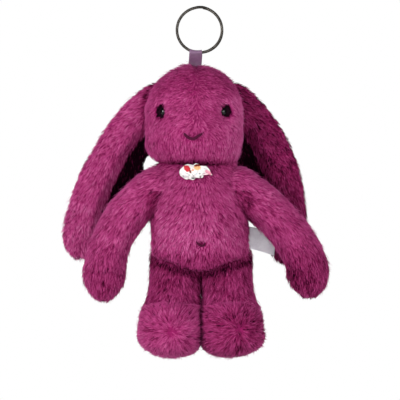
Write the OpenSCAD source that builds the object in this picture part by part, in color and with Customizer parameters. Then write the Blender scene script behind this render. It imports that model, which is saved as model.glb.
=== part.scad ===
// Plush rabbit on a split ring: stuffed head, body and limbs, hung from a ribbon loop.
// The origin is the centre of the ring's bore. +X is the viewer's right, the rabbit faces -Y.

/* [Split ring] */
// Outer radius of the ring
ring_outer_r = 12.5; // [11.9:0.1:13]
// Radius of the bore that a hook or key goes through
ring_bore_r = 11.2; // [10.8:0.1:11.4]
// Thickness of one turn of the wire, along the ring's axis
ring_turn_t = 0.9; // [0.7:0.05:0.95]

/* [Ribbon] */
// Width of the satin ribbon
ribbon_w = 7; // [5:0.1:7.2]
// Thickness of one ply
ribbon_t = 0.35; // [0.25:0.05:0.4]
// Sideways place of the ribbon
ribbon_x = -2; // [-2.2:0.1:0]

/* [Plush] */
// Thickness of the cover: backing cloth and the root of the pile
cover_t = 1.3; // [1:0.1:1.5]
// Gap between the cover and the stuffing
fill_gap = 0.12; // [0.1:0.01:0.2]

/* [Head] */
// Width of the head
head_w = 48.6; // [46:0.1:48.8]
// Depth of the head
head_d = 40; // [36:0.5:41]
// Height of the head from crown to chin
head_h = 51; // [50:0.1:51.2]
// Sideways place of the head
head_x = -1.8; // [-2:0.1:-1.6]
// Radius of each bead eye
eye_r = 2.2; // [1.8:0.1:2.4]
// Distance between the eyes
eye_gap = 33.6; // [31:0.1:34]

/* [Body] */
// Width of the body at the belly
torso_w = 49.4; // [46:0.1:49.6]
// Depth of the body
torso_d = 37; // [34:0.5:38]
// Height of the body
torso_h = 54; // [53.5:0.1:54.2]
// Radius of the pompom tail
tail_r = 7; // [5.5:0.1:7.5]

/* [Limbs] */
// Width of an arm
arm_w = 20.6; // [18:0.1:20.8]
// Thickness of an arm, front to back
arm_d = 16.4; // [14:0.1:16.6]
// Width of an ear
ear_w = 18.8; // [16:0.1:19]
// Thickness of an ear, both panels
ear_d = 5; // [4:0.1:5.2]
// Width of a thigh
thigh_w = 25; // [23:0.1:25.2]
// Width of a foot
foot_w = 31; // [29:0.1:31.2]
// Length of a foot, heel to toe
foot_l = 36; // [33:0.5:37]

/* [Hidden] */

raspberry = [0.6, 0.22, 0.42];
shaded_plush = [0.5, 0.16, 0.34];
stuffing = [0.93, 0.92, 0.9];
$fn = 48;

// Rounded profile along a soft part: 0 at both ends, 1 in the middle; a higher power is boxier
function dome(u, top, bottom) =
    let(p = u < 0.5 ? top : bottom)
    pow(max(0, 1 - pow(min(1, abs(2 * u - 1)), p)), 1 / p);
// Straight middle with round ends, each end taking a share of the length
function capsule(u, top, bottom) =
    let(v = u < top ? 1 - u / top : u > 1 - bottom ? 1 - (1 - u) / bottom : 0) sqrt(max(0, 1 - v * v));
// Smooth rise from 0 to 1 between a and b
function rise(u, a, b) = let(t = max(0, min(1, (u - a) / (b - a)))) t * t * (3 - 2 * t);
// Point and direction on a cubic curve through four hand-set points
function curve(p, u) =
    pow(1 - u, 3) * p[0] + 3 * u * pow(1 - u, 2) * p[1] + 3 * u * u * (1 - u) * p[2] + pow(u, 3) * p[3];
function heading(p, u) =
    pow(1 - u, 2) * (p[1] - p[0]) + 2 * u * (1 - u) * (p[2] - p[1]) + u * u * (p[3] - p[2]);
// Four points on a level drop from z0 to z1, with a sideways place and a depth place for each
function drop(z0, z1, xs, ys) = [for (i = [0:3]) [xs[i], ys[i], z0 + (z1 - z0) * i / 3]];

// A soft part is [curve points, width function, depth function, length]
function half_w(part, u) = part[1](u);
function half_d(part, u) = part[2](u);
// Stations along a part, closer together near its round ends
function stations(n, u0 = 0, u1 = 1) =
    [for (i = [0:n]) let(v = u0 + (u1 - u0) * (1 - cos(180 * i / n)) / 2) max(0.002, min(0.998, v))];
// Place along the part, measured on the surface that lies t inside the outer one
function inner_u(part, u, t) = (u * part[3] - t) / (part[3] - 2 * t);
function inner_r(r, part, u, t) =
    let(v = inner_u(part, u, t)) v <= 0.001 || v >= 0.999 ? 0.05 : max(0.05, r(v) - t);
// Arc of a section: centre, sideways direction, half width, half depth, first and last angle
function arc(c, n, w, d, a0, a1, sides) =
    [for (i = [0:sides]) let(a = a0 + (a1 - a0) * i / sides) c + w * cos(a) * n + [0, d * sin(a), 0]];
function sideways(part, u) = let(h = heading(part[0], u), l = norm([h.x, h.z])) [-h.z / l, 0, h.x / l];
function outer_arc(part, u, a0, a1, sides) =
    arc(curve(part[0], u), sideways(part, u), half_w(part, u), half_d(part, u), a0, a1, sides);
function inner_arc(part, u, t, a0, a1, sides) =
    arc(curve(part[0], u), sideways(part, u),
        inner_r(part[1], part, u, t), inner_r(part[2], part, u, t), a0, a1, sides);

// Closed solid through a list of rings, each with the same even number of points
module loft(rings) {
    m = len(rings[0]);
    last = len(rings) - 1;
    walls = [for (j = [0:last - 1]) for (i = [0:m - 1])
        let(a = j * m + i, b = j * m + (i + 1) % m)
        each [[a, b, b + m], [a, b + m, a + m]]];
    caps = [for (i = [0:m / 2 - 2])
        each [[m - 1 - i, m - 2 - i, i + 1], [m - 1 - i, i + 1, i],
            [last * m + i, last * m + i + 1, last * m + m - 2 - i],
            [last * m + i, last * m + m - 2 - i, last * m + m - 1 - i]]];
    polyhedron([for (r = rings) each r], concat(walls, caps));
}
// One panel of a cover, between two angles round the part
module panel(part, a0, a1, sides, n = 12, u0 = 0, u1 = 1)
    loft([for (u = stations(n, u0, u1)) concat(outer_arc(part, u, a0, a1, sides),
        inner_arc(part, u, cover_t, a1, a0, sides))]);
// The stuffing, just inside the cover
module filling(part, sides, n = 12, u0 = 0, u1 = 1, from = 0)
    loft([for (u = stations(n, u0, u1))
        let(w = inner_r(part[1], part, u, cover_t), d = inner_r(part[2], part, u, cover_t))
        if (min(w, d) > 1)
        arc(curve(part[0], u), sideways(part, u), w - fill_gap, d - fill_gap,
            from, from + 360 - 360 / sides, sides - 1)]);
// Line across an ear: its inner edge is folded back and reaches behind the cheek
function ear_line(part, u, w, d, y, a0, a1, inner, reach) =
    let(along = rise(u, 0.1, 0.3) * (1 - rise(u, 0.5, 0.78)), n = sideways(part, u), c = curve(part[0], u))
    [for (i = [0:ear_sides])
        let(a = a0 + (a1 - a0) * i / ear_sides, s = inner * cos(a))
        c + w * cos(a) * n + [inner * reach * rise(s, 0.45, 1) * along,
            y + d * sin(a) + ear_fold * rise(s, 0.3, 0.8) * along, 0]];
// One cloth layer of an ear; side is 1 for the back layer and -1 for the front one
module ear_layer(part, side, inner, reach)
    loft([for (u = stations(16))
        let(w = half_w(part, u), y = side * ply_gap)
        concat(ear_line(part, u, w, side * half_d(part, u), y, 0, 180, inner, reach),
            ear_line(part, u, w * ear_lining, 0, y, 180, 0, inner, reach))]);

// Soft parts
head_top = -19.4;
head = [drop(head_top, head_top - head_h, [for (i = [0:3]) head_x], [1, -2, -4, -1]),
    function(u) head_w / 2 * dome(u, 2.1, 3.2), function(u) head_d / 2 * dome(u, 2.1, 2.8), head_h];
torso_top = -71.2;
torso_x = 0.3;
torso = [drop(torso_top, torso_top - torso_h, [for (i = [0:3]) torso_x], [0.5, 0, -1, -13]),
    function(u) torso_w / 2 * dome(u, 2.2, 2.4) * (0.8 + 0.2 * rise(u, 0, 0.6)),
    function(u) torso_d / 2 * dome(u, 2.2, 2.4) * (0.85 + 0.15 * rise(u, 0, 0.5) - 0.4 * rise(u, 0.65, 1)),
    torso_h];
leg_split_x = 0.5;
leg_top = -119;
leg_h = 51.8;
function leg(s) = [drop(leg_top, leg_top - leg_h,
        [for (x = [12.9, 13.6, 15.8, 17.2]) leg_split_x + s * x], [5.5, 6, -5, -7]),
    function(u) (thigh_w / 2 + (foot_w - thigh_w) / 2 * rise(u, 0.3, 0.75)) * capsule(u, 0.16, 0.2),
    function(u) (11 + (foot_l / 2 - 11) * rise(u, 0.35, 0.65)) * capsule(u, 0.22, 0.2), leg_h];
arm_shape_w = function(u) arm_w / 2 * capsule(u, 0.22, 0.2) * (0.8 + 0.2 * rise(u, 0.05, 0.4));
arm_shape_d = function(u) arm_d / 2 * capsule(u, 0.22, 0.2) * (0.85 + 0.15 * rise(u, 0, 0.4));
arm_y = -4;
arm_left = [[[-24.5, arm_y, -78.5], [-40, arm_y, -94], [-50, arm_y, -110], [-50.2, arm_y, -141]],
    arm_shape_w, arm_shape_d, 70];
arm_right = [[[24, arm_y, -77.5], [37, arm_y, -95], [55, arm_y, -108], [57.3, arm_y, -139]],
    arm_shape_w, arm_shape_d, 70];
ear_sides = 12;
ear_lining = 0.97;
ear_fold = 6.5;
ply_gap = 0.05;
reach_left = 9;
reach_right = 11.5;
ear_shape_w = function(u) ear_w / 2 * capsule(u, 0.16, 0.16) * (0.75 + 0.25 * rise(u, 0, 0.35));
ear_shape_d = function(u) ear_d / 2 * capsule(u, 0.1, 0.1);
ear_left = [[[-27.5, 6.5, -42.5], [-45, 7.2, -54], [-64, 11, -93], [-62.3, 13.5, -119]],
    ear_shape_w, ear_shape_d, 86];
ear_right = [[[24.2, 6.5, -43], [41, 7.2, -57.5], [49, 12, -91], [45, 14.6, -121.6]],
    ear_shape_w, ear_shape_d, 86];

// Split ring: a front turn and a back turn, joined where the wire steps across
step_deg = 22;
turn_gap = 0.04;
module ring_turn(y, from)
    rotate([90, 0, 0])
        rotate([0, 0, from])
            rotate_extrude(angle = 360 - step_deg)
                translate([ring_bore_r, -y - ring_turn_t / 2])
                    square([ring_outer_r - ring_bore_r, ring_turn_t]);
module wire_slice(deg, y)
    rotate([0, -deg, 0])
        translate([ring_bore_r, y - ring_turn_t / 2, -0.1])
            cube([ring_outer_r - ring_bore_r, ring_turn_t, 0.2]);
module split_ring() color([0.2, 0.19, 0.18]) {
    turn_y = (ring_turn_t + turn_gap) / 2;
    top = 100;
    ring_turn(-turn_y, top);
    ring_turn(turn_y, top);
    hull() {
        wire_slice(top - 0.3, -turn_y);
        wire_slice(top - step_deg / 2, 0);
    }
    hull() {
        wire_slice(top - step_deg / 2, 0);
        wire_slice(top - step_deg + 0.3, turn_y);
    }
}

// Ribbon loop: round the wire, then two plies down to the crown
loop_z = -11.4;
loop_r = 2.05;
ribbon_end_z = head_top + 0.5;
function ribbon_arc(r, a0, a1) = [for (i = [0:16]) let(a = a0 + (a1 - a0) * i / 16) r * [cos(a), sin(a)]];
module hanging_ribbon() color([0.45, 0.31, 0.43]) {
    end = ribbon_end_z - loop_z;
    half_gap = 0.03;
    outer_y = half_gap + ribbon_t;
    translate([ribbon_x - ribbon_w / 2, 0, loop_z])
        rotate([90, 0, 90])
            linear_extrude(ribbon_w)
                polygon(concat(ribbon_arc(loop_r + ribbon_t, -20, 200), [[-outer_y, end], [-half_gap, end]],
                    ribbon_arc(loop_r, 200, -20), [[half_gap, end], [outer_y, end]]));
}

// Surface of a level part: the front point at a sideways place x and a height z
function level_u(part, z) = (part[0][0].z - z) / part[3];
function front(part, x, z) =
    let(u = level_u(part, z), c = curve(part[0], u))
    [x, c.y - half_d(part, u) * sqrt(1 - pow((x - c.x) / half_w(part, u), 2)), z];
function front_turn(part, p) =
    let(u = level_u(part, p.z), c = curve(part[0], u))
    atan2((p.x - c.x) / pow(half_w(part, u), 2), (c.y - p.y) / pow(half_d(part, u), 2));
// Children drawn with +Z out of the surface at a front point
module on_front(part, p)
    translate(p)
        rotate([0, 0, front_turn(part, p)])
            rotate([90, 0, 0])
                children();

// Bead eyes with a shank through the cover, held by a washer inside
face_x = -3.4;
eye_z = -43.2;
shank_r = 0.8;
shank_l = 5;
shank_gap = 0.05;
eye_sink = 0.2;
eye_gap_to_cloth = 0.05;
washer_r = 3.2;
washer_gap = 0.02;
washer_t = 0.8;
washer_depth = 3;
washer_room = 0.2;
pocket_depth = 6;
function eye_point(s) = front(head, face_x + s * eye_gap / 2, eye_z);
module eye(s) color([0.04, 0.03, 0.05])
    on_front(head, eye_point(s))
        rotate_extrude() {
            intersection() {
                translate([0, -eye_sink])
                    circle(eye_r);
                translate([0, eye_gap_to_cloth])
                    square([eye_r, eye_r]);
            }
            translate([0, -shank_l])
                square([shank_r, shank_l + eye_sink]);
        }
module eye_washer(s) color([0.9, 0.9, 0.88])
    on_front(head, eye_point(s))
        translate([0, 0, -washer_depth - washer_t])
            difference() {
                cylinder(h = washer_t, r = washer_r);
                translate([0, 0, -1])
                    cylinder(h = washer_t + 2, r = shank_r + washer_gap);
            }
module eye_hole(s, r, depth)
    on_front(head, eye_point(s))
        translate([0, 0, -depth])
            cylinder(h = depth + 2, r = r);

module head_face_left() color(raspberry)
    difference() {
        panel(head, 170, 270, 9);
        eye_hole(-1, shank_r + shank_gap, pocket_depth);
    }
module head_face_right() color(raspberry)
    difference() {
        panel(head, 270, 370, 9);
        eye_hole(1, shank_r + shank_gap, pocket_depth);
    }
module head_back() color(shaded_plush)
    panel(head, 10, 170, 14);
module head_filling() color(stuffing)
    difference() {
        filling(head, 24);
        eye_hole(-1, washer_r + washer_room, pocket_depth);
        eye_hole(1, washer_r + washer_room, pocket_depth);
    }

// Thread stitches lie on the plush, as a smile and as a belly button
thread_r = 0.35;
thread_gap = 0.35;
stitch_spread = 55;
module stitch(part, x, z, r)
    translate([x, front(part, x, z).y - thread_r - thread_gap, z + r])
        rotate([90, 0, 0])
            rotate([0, 0, -90 - stitch_spread])
                rotate_extrude(angle = 2 * stitch_spread)
                    translate([r, 0])
                        circle(thread_r, $fn = 16);
module mouth_stitch() color([0.2, 0.03, 0.12])
    stitch(head, face_x, -57.6, 5.6);
module belly_stitch() color([0.2, 0.03, 0.12])
    stitch(torso, 1.2, -112.6, 2.6);

module ear_left_front() color(raspberry)
    ear_layer(ear_left, -1, 1, reach_left);
module ear_left_back() color(shaded_plush)
    ear_layer(ear_left, 1, 1, reach_left);
module ear_right_front() color(raspberry)
    ear_layer(ear_right, -1, -1, reach_right);
module ear_right_back() color(shaded_plush)
    ear_layer(ear_right, 1, -1, reach_right);

module torso_front() color(raspberry)
    panel(torso, 180, 360, 16);
module torso_back_left() color(shaded_plush)
    panel(torso, 90, 180, 8);
module torso_back_right() color(shaded_plush)
    panel(torso, 0, 90, 8);
module torso_filling() color(stuffing)
    filling(torso, 32);

// Printed cotton bow on the chest, under the chin
bow_x = -1.8;
bow_z = -76.2;
bow_y = front(torso, bow_x, bow_z).y - 3.2;
knot_r = 1.65;
loop_from = 1.7;
loop_l = 6.3;
loop_tilt = 0.8;
function loop_half(u, gathered, open) = (gathered + (open - gathered) * rise(u, 0, 0.6)) * dome(u, 3, 2.4);
module bow_loop(s)
    loft([for (u = stations(7))
        arc([bow_x + s * (loop_from + loop_l * u), bow_y + loop_tilt * u, bow_z + s * loop_tilt * u],
            [0, 0, s], loop_half(u, 1.4, 3.8), loop_half(u, 1, 1.7), 0, 330, 11)]);
module bow_loop_left() color("white")
    bow_loop(-1);
module bow_loop_right() color("mistyrose")
    bow_loop(1);
module bow_knot() color("sandybrown")
    translate([bow_x, bow_y, bow_z])
        scale([1, 1.2, 1.5])
            sphere(knot_r);

// Blank satin care label, sewn into the body's side seam
label_w = 15.5;
label_h = 11.5;
label_t = 0.3;
label_z = -103.2;
label_turn = 6;
label_droop = 12;
label_root = [torso_x + torso_w / 2 + 0.5, 5.5];
module care_label() color([0.85, 0.85, 0.87, 0.8])
    translate([label_root.x, label_root.y, label_z])
        rotate([0, label_droop, label_turn])
            translate([0, 0, -label_h])
                cube([label_w, label_t, label_h]);

// Pompom tail, open where it is sewn on
tail_z = -108;
tail_cut = 3.6;
tail_gap = 0.2;
function back_y(z) = let(u = level_u(torso, z)) curve(torso[0], u).y + half_d(torso, u);
tail_tilt = atan2(back_y(tail_z + 1) - back_y(tail_z - 1), 2);
module tail_ball(r, hollow_r)
    translate([torso_x, back_y(tail_z), tail_z])
        rotate([-90 - tail_tilt, 0, 0])
            rotate_extrude()
                translate([0, tail_cut + tail_gap])
                    difference() {
                        intersection() {
                            circle(r);
                            translate([0, -tail_cut])
                                square([r, r + tail_cut]);
                        }
                        circle(hollow_r);
                    }
module tail_cover() color(raspberry)
    tail_ball(tail_r, tail_r - cover_t);
module tail_filling() color(stuffing)
    tail_ball(tail_r - cover_t - fill_gap, 0.01);

module arm_left_front() color(raspberry)
    panel(arm_left, 180, 360, 9);
module arm_left_back() color(shaded_plush)
    panel(arm_left, 0, 180, 9);
module arm_left_filling() color(stuffing)
    filling(arm_left, 18);
module arm_right_front() color(raspberry)
    panel(arm_right, 180, 360, 9);
module arm_right_back() color(shaded_plush)
    panel(arm_right, 0, 180, 9);
module arm_right_filling() color(stuffing)
    filling(arm_right, 18);

// Legs: outer and inner panels above a sole
sole_u = 0.93;
sole_gap = 0.06;
module leg_panel(s, a0)
    panel(leg(s), a0, a0 + 180, 9, 12, 0, sole_u);
module sole(s)
    loft([for (u = [sole_u, 0.96, 0.985, 0.998])
        arc(curve(leg(s)[0], u) - [0, 0, sole_gap], sideways(leg(s), u),
            half_w(leg(s), u), half_d(leg(s), u), 90, 430, 17)]);
module leg_left_outer() color(raspberry)
    leg_panel(-1, 90);
module leg_left_inner() color(shaded_plush)
    leg_panel(-1, 270);
module leg_left_sole() color(raspberry)
    sole(-1);
module leg_left_filling() color(stuffing)
    filling(leg(-1), 18, 12, 0, sole_u, 90);
module leg_right_outer() color(raspberry)
    leg_panel(1, 270);
module leg_right_inner() color(shaded_plush)
    leg_panel(1, 90);
module leg_right_sole() color(raspberry)
    sole(1);
module leg_right_filling() color(stuffing)
    filling(leg(1), 18, 12, 0, sole_u, 90);

split_ring();
hanging_ribbon();
head_face_left();
head_face_right();
head_back();
head_filling();
eye(-1);  // eye_left
eye(1);  // eye_right
eye_washer(-1);  // eye_washer_left
eye_washer(1);  // eye_washer_right
mouth_stitch();
ear_left_front();
ear_left_back();
ear_right_front();
ear_right_back();
torso_front();
torso_back_left();
torso_back_right();
torso_filling();
belly_stitch();
bow_loop_left();
bow_loop_right();
bow_knot();
care_label();
tail_cover();
tail_filling();
arm_left_front();
arm_left_back();
arm_left_filling();
arm_right_front();
arm_right_back();
arm_right_filling();
leg_left_outer();
leg_left_inner();
leg_left_sole();
leg_left_filling();
leg_right_outer();
leg_right_inner();
leg_right_sole();
leg_right_filling();
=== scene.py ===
import math
import bmesh
import bpy
import numpy as np
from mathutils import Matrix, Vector
from mathutils.bvhtree import BVHTree
from mathutils.kdtree import KDTree


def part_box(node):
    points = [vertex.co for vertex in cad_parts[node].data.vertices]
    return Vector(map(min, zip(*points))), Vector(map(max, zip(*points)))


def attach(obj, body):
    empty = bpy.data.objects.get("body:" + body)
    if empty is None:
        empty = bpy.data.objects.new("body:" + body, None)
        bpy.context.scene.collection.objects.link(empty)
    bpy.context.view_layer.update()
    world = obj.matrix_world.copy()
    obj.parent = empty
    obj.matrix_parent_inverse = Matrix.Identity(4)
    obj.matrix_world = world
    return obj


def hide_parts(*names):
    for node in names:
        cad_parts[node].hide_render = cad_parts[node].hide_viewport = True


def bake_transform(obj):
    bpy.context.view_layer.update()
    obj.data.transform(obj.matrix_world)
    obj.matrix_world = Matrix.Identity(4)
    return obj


# A plush rabbit that hangs from a split ring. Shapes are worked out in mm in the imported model's frame, and become
# metres when a mesh is made: x is the viewer's right, -y the front and z up, from the middle of the ring.
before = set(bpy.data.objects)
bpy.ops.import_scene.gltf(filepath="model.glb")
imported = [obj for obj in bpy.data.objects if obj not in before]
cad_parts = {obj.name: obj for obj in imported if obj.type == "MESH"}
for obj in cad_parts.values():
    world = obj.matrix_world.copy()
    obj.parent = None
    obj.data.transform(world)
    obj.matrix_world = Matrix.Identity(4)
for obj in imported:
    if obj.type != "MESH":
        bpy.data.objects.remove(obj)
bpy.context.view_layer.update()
scene = bpy.context.scene
MM = 0.001
SIDES = ("left", "right")


# ---------------------------------------------------------------- shapes
def smooth(t):
    t = np.clip(t, 0, 1)
    return t * t * (3 - 2 * t)


def rise(u, a, b):
    return smooth((np.asarray(u, float) - a) / (b - a))


def dome(u, top, bottom):
    p = np.where(u < 0.5, top, bottom)
    return np.maximum(0, 1 - np.abs(2 * u - 1) ** p) ** (1 / p)


def capsule(u, top, bottom):
    v = np.where(u < top, 1 - u / top, np.where(u > 1 - bottom, 1 - (1 - u) / bottom, 0))
    return np.sqrt(np.maximum(0, 1 - v * v))


def bezier(points, u):
    p = np.asarray(points, float)
    u = np.asarray(u, float)[:, None]
    return (1 - u) ** 3 * p[0] + 3 * u * (1 - u) ** 2 * p[1] + 3 * u * u * (1 - u) * p[2] + u ** 3 * p[3]


def heading(points, u):
    p = np.asarray(points, float)
    u = np.asarray(u, float)[:, None]
    h = (1 - u) ** 2 * (p[1] - p[0]) + 2 * u * (1 - u) * (p[2] - p[1]) + u * u * (p[3] - p[2])
    return h / np.linalg.norm(h, axis=1)[:, None]


def drop(z0, z1, xs, ys):
    return [[xs[i], ys[i], z0 + (z1 - z0) * i / 3] for i in range(4)]


def unit(v):
    return v / np.maximum(np.linalg.norm(v, axis=-1, keepdims=True), 1e-9)


def lattice_noise(p, size, seed=0):
    """Smooth noise from -1 to 1 at the points p, with lumps about size mm across, from a hash of each cell."""
    place_in = np.asarray(p, float) / size
    cell = np.floor(place_in).astype(np.int64)
    within = smooth(place_in - cell)
    total = np.zeros(len(place_in))
    for corner in range(8):
        step = np.array([corner & 1, corner >> 1 & 1, corner >> 2 & 1])
        x, y, z = (cell + step).T
        key = (x * 73856093) ^ (y * 19349663) ^ (z * 83492791) ^ (seed * 2654435761)
        key = ((key ^ (key >> 13)) & 0xFFFFFFFF) * 1274126177
        value = ((key ^ (key >> 16)) & 0xFFFF) / 32767.5 - 1
        total += value * np.prod(np.where(step, within, 1 - within), axis=1)
    return total


def box_mm(node):
    low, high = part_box(node)
    return np.array(low) * 1000, np.array(high) * 1000


def mid_mm(node):
    low, high = box_mm(node)
    return (low + high) / 2


# ---------------------------------------------------------------- meshes
def linked(name, data):
    """A new object of the scene."""
    ob = bpy.data.objects.new(name, data)
    scene.collection.objects.link(ob)
    return ob


def mesh_object(name, points_mm, faces):
    me = bpy.data.meshes.new(name)
    me.from_pydata([tuple(p) for p in np.asarray(points_mm) * MM], [], [tuple(f) for f in faces])
    work = bmesh.new()
    work.from_mesh(me)
    bmesh.ops.recalc_face_normals(work, faces=work.faces)
    work.to_mesh(me)
    work.free()
    me.update()
    me.polygons.foreach_set("use_smooth", [True] * len(me.polygons))
    return linked(name, me)


def grid_faces(rows, columns, closed=False):
    """Quads between neighbouring rows of points; closed joins the last column to the first."""
    faces = []
    for i in range(rows - 1):
        for j in range(columns if closed else columns - 1):
            k = (j + 1) % columns
            faces.append((i * columns + j, i * columns + k, (i + 1) * columns + k, (i + 1) * columns + j))
    return faces


def tube(rings, first, last):
    """Points and faces of a closed tube, from its rings of points and the middles of its two ends."""
    rows, columns = rings.shape[:2]
    faces = grid_faces(rows, columns, closed=True)
    start = (rows - 1) * columns
    for i in range(columns):
        k = (i + 1) % columns
        faces.append((k, i, rows * columns))
        faces.append((start + i, start + k, rows * columns + 1))
    return np.vstack([rings.reshape(-1, 3), first, last]), faces


def loft_arrays(path, wide, deep, rows=52, sides=44, bend=None):
    """Points and faces of a closed soft form round a path; bend(points, u, a) may move them."""
    u = (1 - np.cos(np.pi * np.arange(rows + 1) / rows)) / 2
    u[0], u[-1] = 0.0006, 0.9994
    a = 2 * np.pi * np.arange(sides) / sides
    h = heading(path, u)
    side = unit(np.stack([-h[:, 2], 0 * h[:, 0], h[:, 0]], 1))
    points = bezier(path, u)[:, None, :] + (wide(u)[:, None] * np.cos(a))[..., None] * side[:, None, :]
    points[..., 1] += deep(u)[:, None] * np.sin(a)
    if bend:
        grid_u = np.repeat(u[:, None], sides, 1)
        grid_a = np.repeat(a[None, :], rows + 1, 0)
        points = bend(points.reshape(-1, 3), grid_u.ravel(), grid_a.ravel()).reshape(rows + 1, sides, 3)
    return tube(points, points[0].mean(0), points[-1].mean(0))


def read_mesh(me):
    n = len(me.vertices)
    co = np.empty(n * 3, np.float32)
    no = np.empty(n * 3, np.float32)
    me.vertices.foreach_get("co", co)
    me.vertices.foreach_get("normal", no)
    return co.reshape(-1, 3).astype(float), no.reshape(-1, 3).astype(float)


def baked_mesh(ob):
    """A new mesh with the object's modifiers applied."""
    deps = bpy.context.evaluated_depsgraph_get()
    deps.update()
    return bpy.data.meshes.new_from_object(ob.evaluated_get(deps))


def move_points(me, points):
    me.vertices.foreach_set("co", points.ravel().astype(np.float32))
    me.update()


SLACK = 0.7                 # mm that a cover is cut small all round, which its filling takes up again
MOST_SWELL = 1.6 * SLACK    # mm that pressure may move a point
LARGE = 10                  # the filling is worked at this many times life size
FILLING_FRAMES = 14


def blown(work, held):
    """The points of a cover after cloth under pressure has filled it, held back by 0 to 1."""
    group = work.vertex_groups.new(name="held")
    for i in np.nonzero(held > 0.02)[0]:
        group.add([int(i)], float(held[i]), "REPLACE")
    cloth = work.modifiers.new("Filling", "CLOTH")
    s = cloth.settings
    s.quality, s.mass = 4, 0.3
    s.tension_stiffness = s.compression_stiffness = 12
    s.shear_stiffness, s.bending_stiffness = 5, 0.4
    s.use_pressure, s.uniform_pressure_force = True, 4
    s.effector_weights.gravity = 0
    s.vertex_group_mass, s.pin_stiffness = "held", 1.0
    cloth.collision_settings.use_collision = False
    cloth.point_cache.frame_start, cloth.point_cache.frame_end = 1, FILLING_FRAMES
    for f in range(1, FILLING_FRAMES + 1):
        scene.frame_set(f)
    me = baked_mesh(work)
    end, _ = read_mesh(me)
    bpy.data.meshes.remove(me)
    work.modifiers.remove(cloth)
    scene.frame_set(1)
    return end


def stuffed(name, points, faces, pins=(), voxel=1.8):
    """A sewn cover, cut slightly small and filled until it reaches its size, but held in where thread pulls.
    pins are (point, radius, depth) in mm."""
    work = mesh_object(name + "_work", np.asarray(points) * LARGE, faces)
    remesh = work.modifiers.new("Even", "REMESH")
    remesh.mode, remesh.voxel_size = "VOXEL", voxel * LARGE * MM
    me = baked_mesh(work)
    bpy.data.objects.remove(work)
    work = linked(name + "_work", me)
    co, no = read_mesh(me)
    co_mm = co / (LARGE * MM)
    held = np.zeros(len(co))
    start = co_mm - no * SLACK
    for point, radius, depth in pins:
        near = smooth(1 - np.linalg.norm(co_mm - np.asarray(point), axis=1) / radius)
        start -= no * (near * depth)[:, None]
        held = np.maximum(held, near)
    move_points(me, start * LARGE * MM)
    free = 1 - held
    step = blown(work, held) / (LARGE * MM) - start
    size = np.linalg.norm(step, axis=1, keepdims=True)
    step *= np.minimum(1, MOST_SWELL / np.maximum(size, 1e-6))
    short = SLACK - np.average((step * no).sum(1), weights=free)
    end = start + step + no * (short * free)[:, None]
    move_points(me, end * LARGE * MM)
    finer = work.modifiers.new("Finer", "SUBSURF")
    finer.levels = finer.render_levels = 1
    out = baked_mesh(work)
    bpy.data.objects.remove(work)
    out.name = name
    move_points(out, read_mesh(out)[0] / LARGE)
    out.polygons.foreach_set("use_smooth", [True] * len(out.polygons))
    return linked(name, out)


def front_tree(ob):
    me = ob.data
    return BVHTree.FromPolygons([v.co for v in me.vertices], [p.vertices for p in me.polygons])


def on_front(tree, x, z):
    """Front surface point and normal (mm) at a sideways place and height, seen from -Y."""
    hit, normal, _, _ = tree.ray_cast(Vector((x * MM, -0.2, z * MM)), Vector((0, 1, 0)))
    return np.array(hit) * 1000, np.array(normal)


# ---------------------------------------------------------------- materials
def srgb(*colour):
    """A shader's colour for a screen's, which runs from 0 to 255."""
    shares = [c / 255 for c in colour]
    return (*(c / 12.92 if c <= 0.04045 else ((c + 0.055) / 1.055) ** 2.4 for c in shares), 1)


class Shader:
    """A procedural material, with short ways to add to its nodes."""

    def __init__(self, name):
        self.material = bpy.data.materials.new(name)
        self.material.use_nodes = True
        self.tree = self.material.node_tree
        self.surface = self.tree.nodes["Principled BSDF"]

    def fill(self, node, values):
        """Sets a node's inputs, or links them where the value is another node's output."""
        for name, value in values.items():
            if isinstance(value, bpy.types.NodeSocket):
                self.tree.links.new(value, node.inputs[name])
            else:
                node.inputs[name].default_value = value
        return node

    def add(self, kind, values, **settings):
        node = self.tree.nodes.new("ShaderNode" + kind)
        for key, value in settings.items():
            setattr(node, key, value)
        return self.fill(node, values)

    def coords(self):
        return self.add("TexCoord", {}).outputs["Object"]

    def noise(self, scale, detail=3, rough=0.55, stretch=None):
        coords = self.coords()
        if stretch:
            coords = self.add("Mapping", {"Vector": coords, "Scale": stretch}).outputs[0]
        values = {"Vector": coords, "Scale": scale, "Detail": detail, "Roughness": rough}
        return self.add("TexNoise", values).outputs[0]

    def ramp(self, source, *stops):
        node = self.add("ValToRGB", {0: source})
        while len(node.color_ramp.elements) < len(stops):
            node.color_ramp.elements.new(0.5)
        for element, (at, colour) in zip(node.color_ramp.elements, stops):
            element.position, element.color = at, colour
        return node.outputs[0]

    def total(self, a, factor, b):
        """a times factor, plus b."""
        return self.add("Math", {0: a, 1: factor, 2: b}, operation="MULTIPLY_ADD").outputs[0]

    def mix(self, share, a, b):
        return self.add("Mix", {"Factor": share, "A": a, "B": b}, data_type="RGBA").outputs["Result"]

    def bump(self, height, strength, distance):
        made = self.add("Bump", {"Height": height, "Strength": strength, "Distance": distance})
        self.fill(self.surface, {"Normal": made.outputs[0]})


def fur_shade(name, colour, roughness=0.75, sheen=0.25, shine=0.25):
    s = Shader(name)
    s.fill(s.surface, {"Base Color": srgb(*colour), "Roughness": roughness, "Specular IOR Level": shine,
                       "Sheen Weight": sheen, "Sheen Roughness": 0.45, "Sheen Tint": srgb(230, 112, 186)})
    s.material.diffuse_color = srgb(*colour)
    return s.material


def plush_backing(name, stops):
    """The knitted ground that the pile stands on."""
    s = Shader(name)
    fine = s.noise(1500, 4, 0.65)
    shade = s.total(fine, 0.65, s.noise(160))
    colour = s.ramp(shade, *[(0.45 + 0.27 * i, srgb(*c)) for i, c in enumerate(stops)])
    s.fill(s.surface, {"Base Color": colour, "Roughness": 0.9, "Specular IOR Level": 0.1})
    s.bump(fine, 0.6, 0.0006)
    return s.material


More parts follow.
